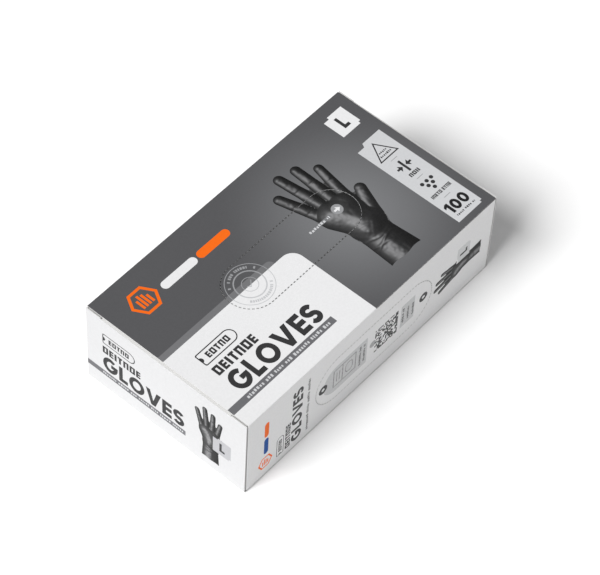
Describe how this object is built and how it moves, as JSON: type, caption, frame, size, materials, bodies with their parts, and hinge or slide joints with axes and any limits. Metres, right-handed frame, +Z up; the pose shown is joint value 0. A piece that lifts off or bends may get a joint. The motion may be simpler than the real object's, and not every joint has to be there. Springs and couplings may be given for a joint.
{
  "type": "glove box",
  "caption": "Folding paperboard dispenser carton of disposable gloves, with perforated oval tear-outs in the top and front and a tucked closure at each end.",
  "frame": {"origin": "middle of the base, at the level of the surface it stands on", "axes": "+X along the length, +Y from the front long side to the rear, +Z up"},
  "size_m": [0.239, 0.132, 0.071],
  "materials": {
    "carton_board": "clay-coated board, printed outside, plain grey inside",
    "glue": "dried glue film",
    "nitrile": "thin matt nitrile"
  },
  "bodies": {
    "carton": {"top_panel": "carton_board", "front_side_panel": "carton_board", "bottom_panel": "carton_board", "rear_side_panel": "carton_board", "glue_flap": "carton_board", "seam_glue": "glue", "gloves_cuff_left_01": "nitrile", "gloves_cuff_right_01": "nitrile", "gloves_cuff_left_02": "nitrile", "gloves_cuff_right_02": "nitrile", "gloves_cuff_left_03": "nitrile", "gloves_cuff_right_03": "nitrile", "gloves_cuff_left_04": "nitrile", "gloves_cuff_right_04": "nitrile", "gloves_cuff_left_05": "nitrile", "gloves_cuff_right_05": "nitrile", "gloves_cuff_left_06": "nitrile", "gloves_cuff_right_06": "nitrile", "gloves_cuff_left_07": "nitrile", "gloves_cuff_right_07": "nitrile", "second_glove": "nitrile", "top_glove": "nitrile"},
    "top_tear_out": {"top_tear_out": "carton_board"},
    "front_tear_out": {"front_tear_out": "carton_board"},
    "left_closure": {"left_closure_panel": "carton_board"},
    "left_tuck": {"left_tuck_tab": "carton_board"},
    "left_front_dust_flap": {"left_front_dust_flap": "carton_board"},
    "left_rear_dust_flap": {"left_rear_dust_flap": "carton_board"},
    "right_closure": {"right_closure_panel": "carton_board"},
    "right_tuck": {"right_tuck_tab": "carton_board"},
    "right_front_dust_flap": {"right_front_dust_flap": "carton_board"},
    "right_rear_dust_flap": {"right_rear_dust_flap": "carton_board"}
  },
  "joints": [
    {"name": "top_tear_out_lift", "type": "slide", "parent": "carton", "child": "top_tear_out", "axis": [0, 0, 1], "range_m": [0, 0.06]},
    {"name": "front_tear_out_lift", "type": "slide", "parent": "carton", "child": "front_tear_out", "axis": [0, -1, 0], "range_m": [0, 0.05]},
    {"name": "left_closure_hinge", "type": "hinge", "parent": "carton", "child": "left_closure", "pos_m": [-0.1189, 0, 0.0006], "axis": [0, -1, 0], "range_deg": [0, 90]},
    {"name": "left_tuck_fold", "type": "hinge", "parent": "left_closure", "child": "left_tuck", "pos_m": [-0.1189, 0, 0.0694], "axis": [0, 1, 0], "range_deg": [0, 49.5]},
    {"name": "left_front_dust_flap_fold", "type": "hinge", "parent": "carton", "child": "left_front_dust_flap", "pos_m": [-0.1174, -0.0654, 0.035], "axis": [0, 0, 1], "range_deg": [0, 30]},
    {"name": "left_rear_dust_flap_fold", "type": "hinge", "parent": "carton", "child": "left_rear_dust_flap", "pos_m": [-0.1174, 0.0654, 0.035], "axis": [0, 0, -1], "range_deg": [0, 30]},
    {"name": "right_closure_hinge", "type": "hinge", "parent": "carton", "child": "right_closure", "pos_m": [0.1189, 0, 0.0006], "axis": [0, 1, 0], "range_deg": [0, 90]},
    {"name": "right_tuck_fold", "type": "hinge", "parent": "right_closure", "child": "right_tuck", "pos_m": [0.1189, 0, 0.0694], "axis": [0, -1, 0], "range_deg": [0, 49.5]},
    {"name": "right_front_dust_flap_fold", "type": "hinge", "parent": "carton", "child": "right_front_dust_flap", "pos_m": [0.1174, -0.0654, 0.035], "axis": [0, 0, -1], "range_deg": [0, 30]},
    {"name": "right_rear_dust_flap_fold", "type": "hinge", "parent": "carton", "child": "right_rear_dust_flap", "pos_m": [0.1174, 0.0654, 0.035], "axis": [0, 0, 1], "range_deg": [0, 30]}
  ],
  "couplings": [
    {"joint": "left_tuck_fold", "follows": "left_closure_hinge", "ratio": 0.55},
    {"joint": "left_front_dust_flap_fold", "follows": "left_closure_hinge", "ratio": 0.3333},
    {"joint": "left_rear_dust_flap_fold", "follows": "left_closure_hinge", "ratio": 0.3333},
    {"joint": "right_tuck_fold", "follows": "right_closure_hinge", "ratio": 0.55},
    {"joint": "right_front_dust_flap_fold", "follows": "right_closure_hinge", "ratio": 0.3333},
    {"joint": "right_rear_dust_flap_fold", "follows": "right_closure_hinge", "ratio": 0.3333}
  ]
}
